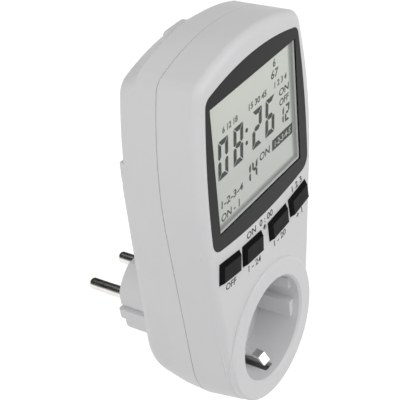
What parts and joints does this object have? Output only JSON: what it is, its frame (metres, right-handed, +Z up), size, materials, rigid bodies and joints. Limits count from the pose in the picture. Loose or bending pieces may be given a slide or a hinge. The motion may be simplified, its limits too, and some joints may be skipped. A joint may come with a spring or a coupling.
{
  "type": "plug in timer switch",
  "caption": "Plug-in timer switch: a tall rounded case with a large display and push buttons over a round earthed socket, and a round two-pin plug behind.",
  "frame": {"origin": "on the plug's face, midway between the two pins", "axes": "+Y into the wall along the pins, +Z up, +X to the right seen from the front"},
  "size_m": [0.0722, 0.0767, 0.1473],
  "materials": {
    "case": "fine satin",
    "bezel": "gloss print",
    "window": "clear",
    "lcd": "gloss",
    "holder": "moulded",
    "strip": "matte",
    "circuit_board": "solder mask",
    "mat": "matte",
    "caps": "fine satin",
    "insulator": "moulded",
    "spring_metal": "nickel plated",
    "contact_brass": "stamped",
    "pin_metal": "nickel plated",
    "relay_case": "moulded",
    "capacitor_case": "moulded",
    "can_metal": "drawn",
    "screw_metal": "zinc plated"
  },
  "bodies": {
    "housing": {"front_cover": "case", "rear_cover": "case", "plug_boss": "case", "display_bezel": "bezel", "display_window": "window", "lcd_panel": "lcd", "lcd_holder": "holder", "contact_strip_upper": "strip", "contact_strip_lower": "strip", "control_board": "circuit_board", "keypad_mat": "mat", "contact_carrier": "insulator", "earth_clip": "spring_metal", "live_contact": "contact_brass", "neutral_contact": "contact_brass", "live_pin": "pin_metal", "neutral_pin": "pin_metal", "live_supply_link": "contact_brass", "live_switched_link": "contact_brass", "neutral_link": "contact_brass", "plug_earth_upper": "spring_metal", "plug_earth_lower": "spring_metal", "earth_link": "spring_metal", "power_board": "circuit_board", "relay": "relay_case", "mains_capacitor": "capacitor_case", "board_connector": "insulator", "filter_capacitor": "can_metal", "backup_battery": "can_metal", "power_board_screws": "screw_metal", "case_screws": "screw_metal", "board_screws": "screw_metal"},
    "button_outer_left": {"button_outer_left": "caps"},
    "button_inner_left": {"button_inner_left": "caps"},
    "button_inner_right": {"button_inner_right": "caps"},
    "button_outer_right": {"button_outer_right": "caps"},
    "reset": {"reset_button": "caps"}
  },
  "joints": [
    {"name": "button_outer_left_press", "type": "slide", "parent": "housing", "child": "button_outer_left", "axis": [0, 1, 0.0052], "range_m": [0, 0.001], "stiffness_N_per_m": 500, "springref_m": -0.0005},
    {"name": "button_inner_left_press", "type": "slide", "parent": "housing", "child": "button_inner_left", "axis": [0, 1, 0.0052], "range_m": [0, 0.001], "stiffness_N_per_m": 500, "springref_m": -0.0005},
    {"name": "button_inner_right_press", "type": "slide", "parent": "housing", "child": "button_inner_right", "axis": [0, 1, 0.0052], "range_m": [0, 0.001], "stiffness_N_per_m": 500, "springref_m": -0.0005},
    {"name": "button_outer_right_press", "type": "slide", "parent": "housing", "child": "button_outer_right", "axis": [0, 1, 0.0052], "range_m": [0, 0.001], "stiffness_N_per_m": 500, "springref_m": -0.0005},
    {"name": "reset_press", "type": "slide", "parent": "housing", "child": "reset", "axis": [0, 1, 0.0052], "range_m": [0, 0.0006], "stiffness_N_per_m": 500, "springref_m": -0.0005}
  ]
}
